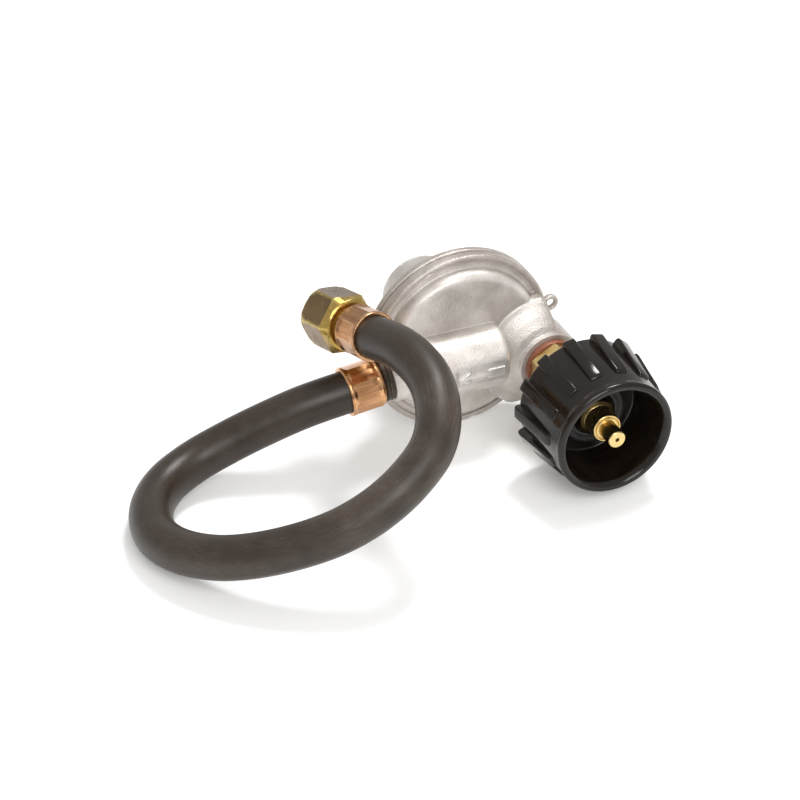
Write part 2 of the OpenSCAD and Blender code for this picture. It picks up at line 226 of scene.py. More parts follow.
def make_tool_lines():
    """Fine turned rings about an axis, broken up so that they don't look printed."""
    s, given, out = shader_group(
        "tool_lines",
        [("Vector", "Vector", None), ("Spacing", "Float", 0.00018), ("Break Up", "Float", 1.5)],
        [("Height", "Float"), ("Streak", "Float")])
    parts = s.node("ShaderNodeSeparateXYZ", {0: given.outputs["Vector"]})
    radius = s.math("SQRT", s.math("ADD", s.math("POWER", parts.outputs[0], 2.0),
                                   s.math("POWER", parts.outputs[1], 2.0)))
    reach = s.math("ADD", parts.outputs[2], radius)
    drift = s.math("MULTIPLY", s.noise(given.outputs["Vector"], 260, 3), given.outputs["Break Up"])
    count = s.math("DIVIDE", reach, given.outputs["Spacing"])
    phase = s.math("ADD", s.math("MULTIPLY", count, TAU), s.math("MULTIPLY", drift, TAU))
    rings = s.math("MULTIPLY_ADD", s.math("SINE", phase), 0.5)
    streak = s.noise(given.outputs["Vector"], 420, 4, 0.65)
    s.tree.links.new(rings, out.inputs["Height"])
    s.tree.links.new(s.spread(streak, 0.3, 0.7, 0.0, 1.0), out.inputs["Streak"])
    return s.tree


def make_edge_wear():
    """Marks raised edges, where handling and plating show, and concave creases, which cast_metal
    darkens as painted shade.
    """
    s, given, out = shader_group(
        "edge_wear",
        [("Vector", "Vector", None), ("Start", "Float", 0.52), ("Full", "Float", 0.6)],
        [("Edge", "Float"), ("Hollow", "Float")])
    point = s.node("ShaderNodeNewGeometry").outputs["Pointiness"]
    grit = s.noise(given.outputs["Vector"], 900, 3, 0.6)
    rough = s.math("ADD", point, s.math("MULTIPLY", s.math("SUBTRACT", grit, 0.5), 0.04))
    edge = s.node("ShaderNodeMapRange", {"Value": rough, "From Min": given.outputs["Start"],
                                         "From Max": given.outputs["Full"]})
    hollow = s.spread(rough, 0.49, 0.42, 0.0, 1.0)
    s.tree.links.new(edge.outputs[0], out.inputs["Edge"])
    s.tree.links.new(hollow, out.inputs["Hollow"])
    return s.tree


def make_smudges():
    """Slow handling marks: a soft mask and fine scratches."""
    s, given, out = shader_group(
        "smudges", [("Vector", "Vector", None), ("Scale", "Float", 70.0)],
        [("Mask", "Float"), ("Scratch", "Float")])
    soft = s.noise(given.outputs["Vector"], given.outputs["Scale"], 4, 0.55)
    stretch = s.node("ShaderNodeMapping", {"Vector": given.outputs["Vector"],
                                           "Scale": (1.0, 9.0, 1.4), "Rotation": (0.4, 0.2, 0.7)})
    lines = s.noise(stretch.outputs[0], 500, 2, 0.5)
    s.tree.links.new(s.spread(soft, 0.35, 0.65, 0.0, 1.0), out.inputs["Mask"])
    s.tree.links.new(s.spread(lines, 0.55, 0.75, 0.0, 1.0), out.inputs["Scratch"])
    return s.tree


CAST_GRAIN = make_cast_grain()
TOOL_LINES = make_tool_lines()
EDGE_WEAR_AND_CREASE_SHADE = make_edge_wear()
SMUDGES = make_smudges()


# ---- materials ----

def colour(red, green, blue):
    return (red, green, blue, 1.0)


def new_material(name):
    """A material with its shader, its Principled node and object coordinates."""
    made = bpy.data.materials.new(name)
    made.use_nodes = True
    made.node_tree.nodes.clear()
    shader = Shader(made.node_tree)
    coords = shader.node("ShaderNodeTexCoord")
    principled = shader.node("ShaderNodeBsdfPrincipled")
    output = shader.node("ShaderNodeOutputMaterial", {0: principled.outputs[0]})
    output.location = (400, 300)
    return made, shader, principled, coords.outputs["Object"]


def use_group(shader, tree, **inputs):
    node = shader.node("ShaderNodeGroup", node_tree=tree)
    for label, value in inputs.items():
        socket = node.inputs[label.replace("_", " ")]
        if isinstance(value, bpy.types.NodeSocket):
            shader.tree.links.new(value, socket)
        else:
            socket.default_value = value
    return node


def bump(shader, principled, height, depth):
    node = shader.node("ShaderNodeBump", {"Height": height, "Distance": depth, "Strength": 1.0})
    shader.tree.links.new(node.outputs[0], principled.inputs["Normal"])


def about_axis(shader, place, axis_matrix):
    """Coordinates whose Z axis is the axis of axis_matrix."""
    local = axis_matrix.inverted()
    return shader.node("ShaderNodeMapping", {
        "Vector": place, "Location": local.to_translation(),
        "Rotation": local.to_euler("XYZ")}).outputs[0]


def link(shader, value, principled, label):
    shader.tree.links.new(value, principled.inputs[label])


STAIN = colour(0.43, 0.32, 0.23)
# Rim colour: tarnish, and a painted dark reflection
RIM_TARNISH_AND_DARK_REFLECTION = colour(0.36, 0.31, 0.265)
# Painted shade laid into the casting's concave creases
PAINTED_CREASE_SHADE = colour(0.13, 0.115, 0.10)
# Distances from the disc's axis between which the rim's tarnish and painted dark reflection set in,
# in metres
RIM_DARKENING_FROM_TO = (0.0275, 0.0305)


def cast_metal(name, dark, light, edge, rough_low, rough_high, grain, depth):
    """Bead-blasted die casting: cloudy and stained, its rim darkened for tarnish and as a painted
    dark reflection, with painted shade in its hollows.
    """
    made, s, principled, place = new_material(name)
    principled.inputs["Metallic"].default_value = 0.6
    skin = use_group(s, CAST_GRAIN, Vector=place, Grain_Size=grain)
    edge_and_crease_masks = use_group(s, EDGE_WEAR_AND_CREASE_SHADE, Vector=place)
    base = s.mixed(skin.outputs["Cloud"], dark, light)
    stain = s.spread(s.noise(place, 42, 5, 0.65), 0.56, 0.68, 0.0, 0.4)
    base = s.mixed(stain, base, STAIN)
    away = s.node("ShaderNodeVectorMath", {0: place, 1: DISC}, operation="SUBTRACT").outputs[0]
    flat = s.node("ShaderNodeVectorMath", {0: away, 1: (1.0, 0.0, 1.0)}, operation="MULTIPLY")
    reach = s.node("ShaderNodeVectorMath", {0: flat.outputs[0]}, operation="LENGTH")
    # The rim is darkened for tarnish and as a painted dark reflection; tarnish here names both.
    tarnish = s.math("MULTIPLY",
                     s.spread(reach.outputs["Value"], *RIM_DARKENING_FROM_TO, 0.0, 1.0),
                     s.spread(skin.outputs["Cloud"], 0.0, 1.0, 1.0, 0.35))
    base = s.mixed(s.math("MULTIPLY", tarnish, 0.75), base, RIM_TARNISH_AND_DARK_REFLECTION)
    # Painted shade: concave creases are darkened towards a dark grey.
    base = s.mixed(s.math("MULTIPLY", edge_and_crease_masks.outputs["Hollow"], 0.85), base, PAINTED_CREASE_SHADE)
    base = s.mixed(edge_and_crease_masks.outputs["Edge"], base, edge)
    link(s, base, principled, "Base Color")
    rough = s.spread(skin.outputs["Cloud"], 0.0, 1.0, rough_low, rough_high)
    link(s, s.math("SUBTRACT", rough, s.math("MULTIPLY", edge_and_crease_masks.outputs["Edge"], 0.12)),
         principled, "Roughness")
    bump(s, principled, skin.outputs["Height"], depth)
    return made


def turned_metal(name, base_low, base_high, edge, roughness, axis_matrix, metallic=1.0):
    """Bright metal with fine rings round its own axis."""
    made, s, principled, place = new_material(name)
    principled.inputs["Metallic"].default_value = metallic
    lines = use_group(s, TOOL_LINES, Vector=about_axis(s, place, axis_matrix), Spacing=0.00022)
    edge_and_crease_masks = use_group(s, EDGE_WEAR_AND_CREASE_SHADE, Vector=place)
    marks = use_group(s, SMUDGES, Vector=place)
    base = s.mixed(lines.outputs["Streak"], base_low, base_high)
    base = s.mixed(s.math("MULTIPLY", marks.outputs["Mask"], 0.25), base, base_low)
    base = s.mixed(s.math("MULTIPLY", edge_and_crease_masks.outputs["Edge"], 0.6), base, edge)
    link(s, base, principled, "Base Color")
    rough = s.math("ADD", roughness, s.math("MULTIPLY", marks.outputs["Mask"], 0.1))
    link(s, s.math("ADD", rough, s.math("MULTIPLY", marks.outputs["Scratch"], 0.05)),
         principled, "Roughness")
    bump(s, principled, lines.outputs["Height"], 0.000012)
    return made


def moulded(name, base_low, base_high, roughness, grain=0.0009, depth=0.000015, specular=0.5):
    """Moulded plastic or rubber with a faint skin."""
    made, s, principled, place = new_material(name)
    principled.inputs["Specular IOR Level"].default_value = specular
    skin = use_group(s, CAST_GRAIN, Vector=place, Grain_Size=grain, Wave=0.8)
    edge_and_crease_masks = use_group(s, EDGE_WEAR_AND_CREASE_SHADE, Vector=place)
    marks = use_group(s, SMUDGES, Vector=place)
    base = s.mixed(skin.outputs["Cloud"], base_low, base_high)
    base = s.mixed(s.math("MULTIPLY", edge_and_crease_masks.outputs["Edge"], 0.35), base, base_high)
    link(s, base, principled, "Base Color")
    rough = s.math("ADD", roughness, s.math("MULTIPLY", marks.outputs["Mask"], 0.08))
    link(s, rough, principled, "Roughness")
    bump(s, principled, skin.outputs["Height"], depth)
    return made


def hose_cover():
    """Satin rubber cover with a lengthwise drawing texture, dusty patches and a painted highlight
    that grows towards the front.
    """
    made, s, principled, place = new_material("hose_rubber")
    principled.inputs["Specular IOR Level"].default_value = 0.4
    along = s.node("ShaderNodeUVMap", uv_map="hose_uv")
    drawn = s.node("ShaderNodeMapping", {"Vector": along.outputs[0], "Scale": (60.0, 14.0, 1.0)})
    streak = s.noise(drawn.outputs[0], 1.0, 3, 0.6)
    skin = use_group(s, CAST_GRAIN, Vector=place, Grain_Size=0.0007, Wave=0.5)
    marks = use_group(s, SMUDGES, Vector=place, Scale=55.0)
    base = s.mixed(streak, colour(0.0140, 0.0082, 0.0047), colour(0.027, 0.0168, 0.0100))
    parts = s.node("ShaderNodeSeparateXYZ", {0: place})
    # Painted highlight: lighter patches that grow towards the front (-Y), joined with the dusty
    # smudge patches.
    front_highlight = s.math("MULTIPLY", s.spread(parts.outputs[1], -0.03, -0.06, 0.3, 1.0),
                    s.spread(s.noise(place, 34, 2, 0.5), 0.4, 0.66, 0.0, 1.0))
    bloom_and_highlight = s.math("MAXIMUM", front_highlight, s.math("MULTIPLY", marks.outputs["Mask"], 0.35))
    base = s.mixed(s.math("MULTIPLY", bloom_and_highlight, s.spread(streak, 0.3, 0.7, 0.45, 1.0)), base,
                   colour(0.084, 0.066, 0.052))
    link(s, base, principled, "Base Color")
    rough = s.math("ADD", 0.31, s.math("MULTIPLY", marks.outputs["Mask"], 0.1))
    link(s, s.math("ADD", rough, s.math("MULTIPLY", streak, 0.1)), principled, "Roughness")
    bump(s, principled, s.math("ADD", skin.outputs["Height"], s.math("MULTIPLY", streak, 1.5)),
         0.00003)
    return made


def copper_sleeve(name, axis_matrix, tone):
    """Copper-plated sleeve, drawn lengthwise, with warmer stains; tone darkens it."""
    made, s, principled, place = new_material(name)
    principled.inputs["Metallic"].default_value = 1.0
    drawn = s.node("ShaderNodeMapping", {"Vector": about_axis(s, place, axis_matrix),
                                         "Scale": (1.0, 1.0, 0.08)})
    streak = s.spread(s.noise(drawn.outputs[0], 520, 2, 0.5), 0.3, 0.7, 0.0, 1.0)
    stain = s.spread(s.noise(place, 130, 3, 0.5), 0.35, 0.7, 0.0, 1.0)
    edge_and_crease_masks = use_group(s, EDGE_WEAR_AND_CREASE_SHADE, Vector=place, Start=0.51, Full=0.57)
    base = s.mixed(streak, colour(0.52 * tone, 0.25 * tone, 0.115 * tone),
                   colour(0.76 * tone, 0.43 * tone, 0.215 * tone))
    base = s.mixed(s.math("MULTIPLY", stain, 0.45), base,
                   colour(0.38 * tone, 0.18 * tone, 0.08 * tone))
    base = s.mixed(s.math("MULTIPLY", edge_and_crease_masks.outputs["Edge"], 0.8), base, colour(0.90, 0.64, 0.40))
    link(s, base, principled, "Base Color")
    link(s, s.math("ADD", 0.2, s.math("MULTIPLY", streak, 0.14)), principled, "Roughness")
    bump(s, principled, s.math("ADD", streak, s.math("MULTIPLY", stain, 0.6)), 0.00005)
    return made


def forged_brass(name, axis_matrix):
    """Yellow brass with a thin olive tarnish that wears off at the edges."""
    made, s, principled, place = new_material(name)
    principled.inputs["Metallic"].default_value = 1.0
    lines = use_group(s, TOOL_LINES, Vector=about_axis(s, place, axis_matrix), Spacing=0.0003)
    stain = s.spread(s.noise(place, 120, 5, 0.62), 0.38, 0.66, 0.0, 1.0)
    edge_and_crease_masks = use_group(s, EDGE_WEAR_AND_CREASE_SHADE, Vector=place, Start=0.51, Full=0.56)
    marks = use_group(s, SMUDGES, Vector=place, Scale=120.0)
    base = s.mixed(stain, colour(0.175, 0.108, 0.036), colour(0.105, 0.064, 0.025))
    base = s.mixed(s.math("MULTIPLY", marks.outputs["Mask"], 0.35), base, colour(0.22, 0.125, 0.05))
    base = s.mixed(s.math("MULTIPLY", edge_and_crease_masks.outputs["Edge"], 0.85), base, colour(0.95, 0.74, 0.22))
    link(s, base, principled, "Base Color")
    link(s, s.math("ADD", 0.2, s.math("MULTIPLY", stain, 0.14)), principled, "Roughness")
    bump(s, principled, s.math("ADD", lines.outputs["Height"], stain), 0.00002)
    return made


def fibre():
    """Reddish-brown translucent washer with short fibres."""
    made, s, principled, place = new_material("inlet_fibre")
    principled.inputs["Coat Weight"].default_value = 0.35
    principled.inputs["Coat Roughness"].default_value = 0.15
    principled.inputs["Subsurface Weight"].default_value = 0.35
    principled.inputs["Subsurface Radius"].default_value = (0.002, 0.0006, 0.0003)
    principled.inputs["Subsurface Scale"].default_value = 0.6
    stretch = s.node("ShaderNodeMapping", {"Vector": place, "Scale": (1.0, 5.0, 1.0)})
    threads = s.spread(s.noise(stretch.outputs[0], 900, 4, 0.6), 0.35, 0.65, 0.0, 1.0)
    cloud = s.noise(place, 260, 3)
    base = s.mixed(threads, colour(0.20, 0.055, 0.022), colour(0.42, 0.14, 0.06))
    base = s.mixed(s.math("MULTIPLY", cloud, 0.4), base, colour(0.12, 0.03, 0.014))
    link(s, base, principled, "Base Color")
    link(s, s.spread(threads, 0.0, 1.0, 0.3, 0.5), principled, "Roughness")
    bump(s, principled, threads, 0.00003)
    return made


MATERIALS = {
    "cast_aluminium": cast_metal(
        "cast_aluminium", colour(0.50, 0.46, 0.425), colour(0.75, 0.71, 0.67),
        colour(0.92, 0.90, 0.87), 0.34, 0.5, 0.0006, 0.00012),
    "bonnet_casting": cast_metal(
        "bonnet_casting", colour(0.43, 0.39, 0.36), colour(0.64, 0.605, 0.57),
        colour(0.88, 0.86, 0.83), 0.3, 0.48, 0.0007, 0.00016),
    "black_nylon": moulded(
        "black_nylon", colour(0.0065, 0.0042, 0.0028), colour(0.0120, 0.0082, 0.0056), 0.12,
        grain=0.0024, depth=0.00005, specular=0.36),
    "thread_nylon": moulded(
        "thread_nylon", colour(0.0065, 0.0042, 0.0028), colour(0.0120, 0.0082, 0.0056), 0.62,
        specular=0.2),
    "hose_rubber": hose_cover(),
    "copper_plate": copper_sleeve("copper_plate", AT_OUTLET, 1.08),
    "far_copper": copper_sleeve("far_copper", AT_FAR, 0.74),
    "brass": turned_metal(
        "brass", colour(0.62, 0.45, 0.17), colour(0.80, 0.62, 0.30), colour(0.97, 0.86, 0.55),
        0.2, AT_INLET),
    "yellow_brass": forged_brass("yellow_brass", AT_FAR),
    "machined_brass": turned_metal(
        "machined_brass", colour(0.36, 0.235, 0.055), colour(0.62, 0.43, 0.13),
        colour(0.92, 0.76, 0.36), 0.2, AT_FAR),
    # A much darker copy of the turned brass, for the nipple inside the nut's bore
    "oiled_brass": turned_metal(
        "oiled_brass", colour(0.05, 0.035, 0.014), colour(0.11, 0.078, 0.03),
        colour(0.60, 0.50, 0.26), 0.3, AT_INLET),
    "dark_bronze": turned_metal(
        "dark_bronze", colour(0.035, 0.028, 0.022), colour(0.075, 0.058, 0.042),
        colour(0.30, 0.21, 0.12), 0.38, AT_OUTLET, metallic=0.7),
    "spring_steel": turned_metal(
        "spring_steel", colour(0.5, 0.51, 0.52), colour(0.68, 0.69, 0.70),
        colour(0.85, 0.86, 0.87), 0.26, AT_DISC),
    "steel_plate": turned_metal(
        "steel_plate", colour(0.52, 0.52, 0.51), colour(0.66, 0.66, 0.65),
        colour(0.85, 0.85, 0.84), 0.32, AT_DISC),
    "screen_wire": turned_metal(
        "screen_wire", colour(0.32, 0.32, 0.32), colour(0.5, 0.5, 0.49),
        colour(0.7, 0.7, 0.7), 0.35, AT_DISC),
    "diaphragm_rubber": moulded(
        "diaphragm_rubber", colour(0.04, 0.034, 0.03), colour(0.06, 0.052, 0.046), 0.6,
        grain=0.0005, depth=0.00005),
    "seal_rubber": moulded(
        "seal_rubber", colour(0.014, 0.013, 0.013), colour(0.03, 0.028, 0.027), 0.5),
    "inlet_fibre": fibre(),
    "bushing_plastic": moulded(
        "bushing_plastic", colour(0.018, 0.017, 0.016), colour(0.034, 0.032, 0.03), 0.4),
    "screw_plastic": moulded(
        "screw_plastic", colour(0.62, 0.57, 0.47), colour(0.74, 0.69, 0.58), 0.42),
}


# ---- mesh helpers ----

SMOOTH_ANGLE = 32  # degrees; sharper edges stay sharp


def finish_mesh(bm, name, matrix=None, angle=SMOOTH_ANGLE):
    """A shaded mesh from bm, in the frame, its faces outward."""
    bmesh.ops.remove_doubles(bm, verts=bm.verts, dist=1e-7)
    bmesh.ops.recalc_face_normals(bm, faces=bm.faces)
    mesh = bpy.data.meshes.new(name)
    bm.to_mesh(mesh)
    bm.free()
    if matrix is not None:
        mesh.transform(matrix)
    smooth(mesh, angle)
    return mesh


def smooth(mesh, angle):
    mesh.shade_smooth()
    mesh.set_sharp_from_angle(angle=math.radians(angle))


def piece(name, mesh, finish, body, replaced=(), material_key=None, second=None):
    """Puts a finished mesh into the scene as a piece that rides on body.

    The material is the finish's own or material_key's; second is the one of its second zone."""
    obj = bpy.data.objects.new(name, mesh)
    SCENE.collection.objects.link(obj)
    zones = [face.material_index for face in mesh.polygons] if second else []
    mesh.materials.clear()
    mesh.materials.append(MATERIALS[material_key or finish])
    if second:
        mesh.materials.append(MATERIALS[second])
        mesh.polygons.foreach_set("material_index", zones)
    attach(obj, body)
    if replaced:
        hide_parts(*replaced)
    return obj


def softened(points, radius, steps=3, closed=True):
    """Rounds the corners of a profile given in millimetres."""
    count = len(points)
    result = []
    for i, corner in enumerate(points):
        corner = Vector(corner)
        if not closed and i in (0, count - 1) or corner.x < 1e-6:
            result.append(corner)
            continue
        before = Vector(points[i - 1]) - corner
        after = Vector(points[(i + 1) % count]) - corner
        if before.length < 1e-6 or after.length < 1e-6 or before.angle(after) > math.radians(165):
            result.append(corner)
            continue
        start = corner + before.normalized() * min(radius, before.length * 0.45)
        end = corner + after.normalized() * min(radius, after.length * 0.45)
        for k in range(steps + 1):
            t = k / steps
            result.append(start * (1 - t) ** 2 + corner * 2 * t * (1 - t) + end * t ** 2)
    return result


def turned(name, points, matrix, sides=96, radius=0.25, shape=None, closed=True,
           angle=SMOOTH_ANGLE, second_zone=None):
    """Turns a profile of (radius, height) millimetres about the Z axis of matrix.

    Faces between the two heights of second_zone take the piece's second material."""
    profile = softened(points, radius, closed=closed)
    bm = bmesh.new()
    rings = []
    for point in profile:
        if point.x < 1e-6:
            rings.append([bm.verts.new((0, 0, point.y * MM))])
            continue
        ring = []
        for k in range(sides):
            a = TAU * k / sides
            r = point.x if shape is None else shape(point.x, point.y, a)
            ring.append(bm.verts.new((r * math.cos(a) * MM, r * math.sin(a) * MM, point.y * MM)))
        rings.append(ring)
    pairs = list(zip(rings, rings[1:]))
    if closed:
        pairs.append((rings[-1], rings[0]))
    for low, high in pairs:
        if len(low) == 1 and len(high) == 1:
            continue
        for k in range(sides):
            n = (k + 1) % sides
            corners = [low[k % len(low)], low[n % len(low)],
                       high[n % len(high)], high[k % len(high)]]
            unique = list(dict.fromkeys(corners))
            if len(unique) < 3:
                continue
            face = bm.faces.new(unique)
            height = face.calc_center_median().z / MM
            if second_zone and second_zone[0] < height < second_zone[1]:
                face.material_index = 1
    return finish_mesh(bm, name, matrix, angle)


def joined(name, meshes):
    """One mesh from several that belong to one piece."""
    bm = bmesh.new()
    for mesh in meshes:
        bm.from_mesh(mesh)
        bpy.data.meshes.remove(mesh)
    mesh = bpy.data.meshes.new(name)
    bm.to_mesh(mesh)
    bm.free()
    smooth(mesh, SMOOTH_ANGLE)
    return mesh


def node_copy(node):
    """A merged copy of a CAD node's mesh as a bmesh."""
    bm = bmesh.new()
    bm.from_mesh(frame["nodes"][node].data)
    bmesh.ops.remove_doubles(bm, verts=bm.verts, dist=2e-6)
    return bm


def evaluated_mesh(obj, name):
    """The plain mesh that obj's modifiers make; obj is removed."""
    graph = bpy.context.evaluated_depsgraph_get()
    graph.update()
    made = bpy.data.meshes.new_from_object(obj.evaluated_get(graph), depsgraph=graph)
    made.name = name
    for modifier in list(obj.modifiers):
        obj.modifiers.remove(modifier)
    bpy.data.objects.remove(obj)
    return made


def cast_copy(node, name, voxel, rounds):
    """A node's shape with the soft inner and outer corners that a mould gives."""
    mesh = bpy.data.meshes.new(name)
    bm = node_copy(node)
    bm.to_mesh(mesh)
    bm.free()
    obj = bpy.data.objects.new(name, mesh)
    SCENE.collection.objects.link(obj)
    skin = obj.modifiers.new("skin", "REMESH")
    skin.mode = "VOXEL"
    skin.voxel_size = voxel * MM
    relax = obj.modifiers.new("relax", "SMOOTH")
    relax.factor = 0.5
    relax.iterations = rounds
    made = evaluated_mesh(obj, name)
    made.shade_smooth()
    return made


def bevelled_copy(node, width):
    """A node's shape with small broken edges of width millimetres."""
    bm = node_copy(node)
    bmesh.ops.dissolve_limit(bm, angle_limit=math.radians(0.6), verts=bm.verts, edges=bm.edges)
    sharp = [e for e in bm.edges if len(e.link_faces) == 2
             and e.calc_face_angle(0) > math.radians(28)]
    bmesh.ops.bevel(bm, geom=sharp, offset=width * MM, segments=2, affect="EDGES", profile=0.5,
                    clamp_overlap=True)
    return finish_mesh(bm, node + "_made", angle=20)


# ---- geometry nodes ----

def geometry_tree(name, inputs):
    tree = bpy.data.node_groups.new(name, "GeometryNodeTree")
    tree.interface.new_socket("Geometry", in_out="INPUT", socket_type="NodeSocketGeometry")
    for label, kind in inputs:
        tree.interface.new_socket(label, in_out="INPUT", socket_type="NodeSocket" + kind)
    tree.interface.new_socket("Geometry", in_out="OUTPUT", socket_type="NodeSocketGeometry")
    shader = Shader(tree)
    return shader, shader.node("NodeGroupInput"), shader.node("NodeGroupOutput")


def end_tree(g, given, out, geometry):
    real = g.node("GeometryNodeRealizeInstances", {"Geometry": geometry})
    named = g.node("GeometryNodeSetMaterial", {"Geometry": real.outputs[0],
                                               "Material": given.outputs["Finish"]})
    g.tree.links.new(named.outputs[0], out.inputs[0])
    return g.tree


def make_ring_tree():
    """Repeats the modified shape evenly about its Z axis."""
    g, given, out = geometry_tree("evenly_round_axis", [("Count", "Int"), ("First Turn", "Float"),
                                                        ("Finish", "Material")])
    points = g.node("GeometryNodeMeshLine", {"Count": given.outputs["Count"], "Offset": (0, 0, 0)})
    index = g.node("GeometryNodeInputIndex").outputs[0]
    step = g.math("DIVIDE", TAU, given.outputs["Count"])
    turn = g.math("ADD", g.math("MULTIPLY", index, step), given.outputs["First Turn"])
    euler = g.node("ShaderNodeCombineXYZ", {2: turn})
    placed = g.node("GeometryNodeInstanceOnPoints", {
        "Points": points.outputs[0], "Instance": given.outputs["Geometry"],
        "Rotation": euler.outputs[0]})
    return end_tree(g, given, out, placed.outputs[0])


def make_helix_tree():
    """A round wire wound on a helix, for springs and threads."""
    g, given, out = geometry_tree("helix_wire", [
        ("Turns", "Float"), ("Coil Radius", "Float"), ("Rise", "Float"), ("Wire Radius", "Float"),
        ("Wire Sides", "Int"), ("Finish", "Material")])
    spiral = g.node("GeometryNodeCurveSpiral", {
        "Resolution": 40, "Rotations": given.outputs["Turns"],
        "Start Radius": given.outputs["Coil Radius"], "End Radius": given.outputs["Coil Radius"],
        "Height": given.outputs["Rise"]})
    wire = g.node("GeometryNodeCurvePrimitiveCircle", {
        "Resolution": given.outputs["Wire Sides"], "Radius": given.outputs["Wire Radius"]})
    tube = g.node("GeometryNodeCurveToMesh", {
        "Curve": spiral.outputs[0], "Profile Curve": wire.outputs[0], "Fill Caps": True})
    return end_tree(g, given, out, tube.outputs[0])


RING_TREE = make_ring_tree()
HELIX_TREE = make_helix_tree()


def grown(name, mesh, tree, matrix, angle=SMOOTH_ANGLE, **inputs):
    """Runs a geometry tree on a mesh and returns the plain result in the frame."""
    obj = bpy.data.objects.new(name, mesh)
    SCENE.collection.objects.link(obj)
    modifier = obj.modifiers.new(name, "NODES")
    modifier.node_group = tree
    for item in tree.interface.items_tree:
        key = item.name.replace(" ", "_")
        if item.in_out == "INPUT" and key in inputs:
            modifier[item.identifier] = inputs[key]
    made = evaluated_mesh(obj, name)
    made.transform(matrix)
    bm = bmesh.new()
    bm.from_mesh(made)
    bmesh.ops.recalc_face_normals(bm, faces=bm.faces)
    bm.to_mesh(made)
    bm.free()
    smooth(made, angle)
    return made


def helix(name, matrix, turns, coil_r, rise, wire_r, sides, finish):
    """A coil of round wire that rises along the Z axis of matrix, in millimetres."""
    return grown(name, bpy.data.meshes.new(name), HELIX_TREE, matrix, 60, Turns=float(turns),
                 Coil_Radius=coil_r * MM, Rise=rise * MM, Wire_Radius=wire_r * MM,
                 Wire_Sides=sides, Finish=MATERIALS[finish])


# ---- the hose ----

UV_PER_METRE = 20


def spline(points, steps):
    """Points along a smooth curve through the route."""
    last = len(points) - 1
    result = []
    for i in range(last):
        a, b = points[max(i - 1, 0)], points[i]
        c, d = points[i + 1], points[min(i + 2, last)]
        for k in range(steps):
            t = k / steps
            result.append(0.5 * (2 * b + (c - a) * t + (2 * a - 5 * b + 4 * c - d) * t ** 2
                                 + (3 * b - a - 3 * c + d) * t ** 3))
    return result + [points[last]]


def hose_mesh(path):
    """A round tube along path with its own length and girth coordinates."""
    sides = 56
    bm = bmesh.new()
    layer = bm.loops.layers.uv.new("hose_uv")
    side = Vector((0, 0, 1))
    rings = []
    reach = [0.0]
    for i, point in enumerate(path):
        if i == 0:
            ahead = OUTLET_AXIS
        elif i == len(path) - 1:
            ahead = FAR_AXIS
        else:
            ahead = (path[i + 1] - path[i - 1]).normalized()
        if i:
            reach.append(reach[-1] + (point - path[i - 1]).length)
        side = (side - ahead * side.dot(ahead)).normalized()
        across = ahead.cross(side)
        rings.append([bm.verts.new(point + (side * math.cos(TAU * k / sides)
                                            + across * math.sin(TAU * k / sides)) * HOSE_R * MM)
                      for k in range(sides)])
    for i in range(len(rings) - 1):
        for k in range(sides):
            n = (k + 1) % sides
            face = bm.faces.new((rings[i][k], rings[i][n], rings[i + 1][n], rings[i + 1][k]))
            for loop, (u, v) in zip(face.loops, ((k, i), (k + 1, i), (k + 1, i + 1), (k, i + 1))):
                loop[layer].uv = (u / sides * TAU * HOSE_R * MM * UV_PER_METRE,
                                  reach[v] * UV_PER_METRE)
    bm.faces.new(rings[0])
    bm.faces.new(rings[-1])
    return finish_mesh(bm, "hose_cover", angle=40), reach[-1]


HOSE_PATH = spline(ROUTE, 10)
HOSE_MESH, HOSE_LENGTH = hose_mesh(HOSE_PATH)
hose = piece("hose_cover", HOSE_MESH, "hose_rubber", "regulator", ("hose",))


# ---- regulator ----

def make_casting():
    """The front casting, its corners softened as a mould leaves them."""
    casting = cast_copy("body_casting", "front_casting", 0.42, 4)
    piece("front_casting", casting, "cast_aluminium", "regulator", ("body_casting",))


FACE_DEPTH, PASSAGE_R, PAD_DEPTH = 6.9, 11, 0.7
ARROW_HEIGHT, ARROW_ROOT, ARROW_Z = 0.75, 0.3, 29.3


def make_arrow():
    """The flow arrow that stands on the passage's pad."""
    outline = [(-8, 0), (-4.2, 2), (-4.8, 0.65), (2.5, 0.65), (2.5, 1.7), (8.5, 1.7), (8.5, -1.7),
               (2.5, -1.7), (2.5, -0.65), (-4.8, -0.65), (-4.2, -2)]
    pad_y = DISC.y + (-FACE_DEPTH - PASSAGE_R + PAD_DEPTH) * MM
    bm = bmesh.new()
    front = [bm.verts.new((DISC.x + x * MM, pad_y - ARROW_HEIGHT * MM, (ARROW_Z + z) * MM))
             for x, z in outline]
    back = [bm.verts.new((v.co.x, pad_y + ARROW_ROOT * MM, v.co.z)) for v in front]
    bm.faces.new(front)
    bm.faces.new(back)
    for i in range(len(front)):
        n = (i + 1) % len(front)
        bm.faces.new((front[i], front[n], back[n], back[i]))
    bmesh.ops.recalc_face_normals(bm, faces=bm.faces)
    edges = [e for e in bm.edges if all(v in front for v in e.verts)]
    bmesh.ops.bevel(bm, geom=edges, offset=0.2 * MM, segments=2, affect="EDGES", profile=0.5)
    piece("flow_arrow", finish_mesh(bm, "flow_arrow"), "cast_aluminium", "regulator")


EYELET_TURN = 6  # degrees above the rim's +X side
EYELET_REACH = 36.2


